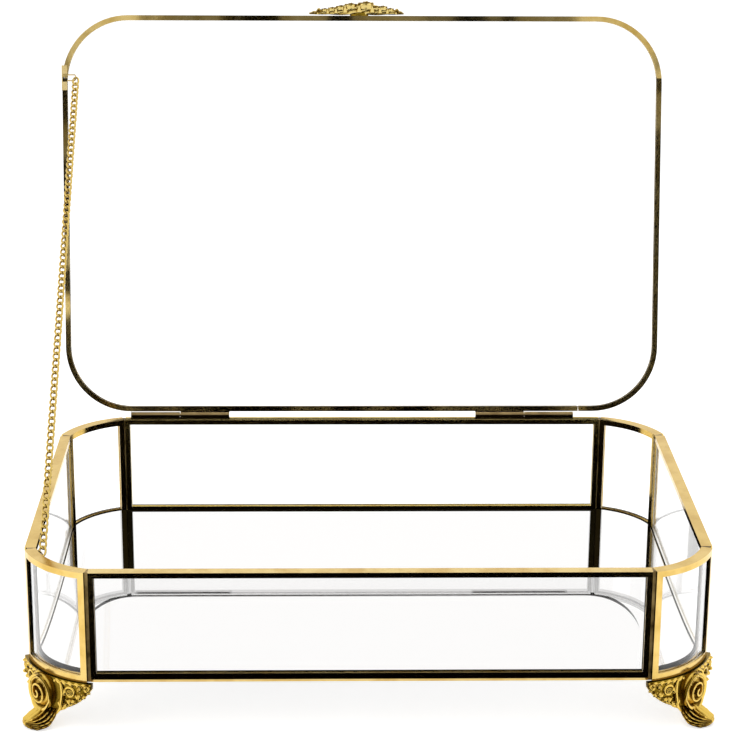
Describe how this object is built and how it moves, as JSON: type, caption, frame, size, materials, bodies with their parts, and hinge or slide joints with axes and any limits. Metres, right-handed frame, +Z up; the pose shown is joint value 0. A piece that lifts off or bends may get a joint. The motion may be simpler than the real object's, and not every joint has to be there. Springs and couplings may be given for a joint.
{
  "type": "glass casket box",
  "caption": "Low glass box for papers and keepsakes: brass-framed panes, bowed corners, mirror floor, cast feet, and a hinged glass lid held open by a stay chain.",
  "frame": {"origin": "on the ground, under the middle of the whole object's outline as it stands with its lid open", "axes": "+X to the right along the front, +Y from the front to the hinged rear, +Z up"},
  "size_m": [0.3024, 0.2504, 0.2782],
  "materials": {
    "clear_glass": "clear polished glass, faintly green at the edges",
    "brass_channel": "bright rolled brass channel with fine scratches",
    "solder": "solder, gold washed, a little rough and tarnished",
    "mirror": "silvered mirror glass",
    "cast_brass": "cast brass with a gold wash, dark in the hollows",
    "chain_brass": "bright brass wire"
  },
  "bodies": {
    "base": {"front_frame": "brass_channel", "front_pane": "clear_glass", "rear_frame": "brass_channel", "rear_pane": "clear_glass", "left_frame": "brass_channel", "left_pane": "clear_glass", "right_frame": "brass_channel", "right_pane": "clear_glass", "front_left_frame": "brass_channel", "front_left_pane": "clear_glass", "front_right_frame": "brass_channel", "front_right_pane": "clear_glass", "rear_left_frame": "brass_channel", "rear_left_pane": "clear_glass", "rear_right_frame": "brass_channel", "rear_right_pane": "clear_glass", "seam_front_left": "solder", "seam_front_right": "solder", "seam_rear_left": "solder", "seam_rear_right": "solder", "seam_left_front": "solder", "seam_right_front": "solder", "seam_left_rear": "solder", "seam_right_rear": "solder", "front_sill": "brass_channel", "rear_sill": "brass_channel", "left_sill": "brass_channel", "right_sill": "brass_channel", "mirror_floor": "mirror", "foot_front_left": "cast_brass", "foot_front_right": "cast_brass", "foot_rear_left": "cast_brass", "foot_rear_right": "cast_brass", "left_hinge_box_tube": "brass_channel", "left_hinge_pin": "brass_channel", "right_hinge_box_tube": "brass_channel", "right_hinge_pin": "brass_channel", "box_staple": "brass_channel"},
    "lid": {"left_hinge_lid_tube": "brass_channel", "right_hinge_lid_tube": "brass_channel", "lid_pane": "clear_glass", "lid_channel_front": "brass_channel", "lid_channel_rear": "brass_channel", "lid_sleeve": "brass_channel", "thumb_ornament": "cast_brass", "lid_staple": "brass_channel"},
    "chain_box_drop": {"chain_box_drop": "chain_brass"},
    "chain_floor_run": {"chain_floor_run": "chain_brass"},
    "chain_turn": {"chain_turn": "chain_brass"},
    "chain_upper_run": {"chain_upper_run": "chain_brass"},
    "chain_lid_drop": {"chain_lid_drop": "chain_brass"}
  },
  "joints": [
    {"name": "lid_hinge", "type": "hinge", "parent": "base", "child": "lid", "pos_m": [0, 0.07856, 0.075], "axis": [1, 0, 0], "range_deg": [0, 101.3]},
    {"name": "chain_drop_swing", "type": "hinge", "parent": "base", "child": "chain_box_drop", "pos_m": [-0.142, -0.09804, 0.07197], "axis": [1, 0, 0], "range_deg": [-87.84, 0]},
    {"name": "chain_run_fold", "type": "hinge", "parent": "chain_box_drop", "child": "chain_floor_run", "pos_m": [-0.14221, -0.05493, 0.10712], "axis": [1, 0, 0], "range_deg": [0, 51.65]},
    {"name": "chain_turn_fold", "type": "hinge", "parent": "chain_floor_run", "child": "chain_turn", "pos_m": [-0.14249, 0.00434, 0.15545], "axis": [1, 0, 0], "range_deg": [0, 88.05]},
    {"name": "lid_drop_swing", "type": "hinge", "parent": "lid", "child": "chain_lid_drop", "pos_m": [-0.143, 0.11026, 0.24182], "axis": [1, 0, 0], "range_deg": [-9.71, 0]},
    {"name": "upper_run_fold", "type": "hinge", "parent": "chain_lid_drop", "child": "chain_upper_run", "pos_m": [-0.14283, 0.07438, 0.21257], "axis": [1, 0, 0], "range_deg": [0, 56.57]}
  ],
  "couplings": [
    {"joint": "chain_drop_swing", "follows": "lid_hinge", "ratio": -0.86668},
    {"joint": "chain_run_fold", "follows": "lid_hinge", "ratio": 0.50938},
    {"joint": "chain_turn_fold", "follows": "lid_hinge", "ratio": 0.86871},
    {"joint": "lid_drop_swing", "follows": "lid_hinge", "ratio": -0.09541},
    {"joint": "upper_run_fold", "follows": "lid_hinge", "ratio": 0.55792}
  ]
}
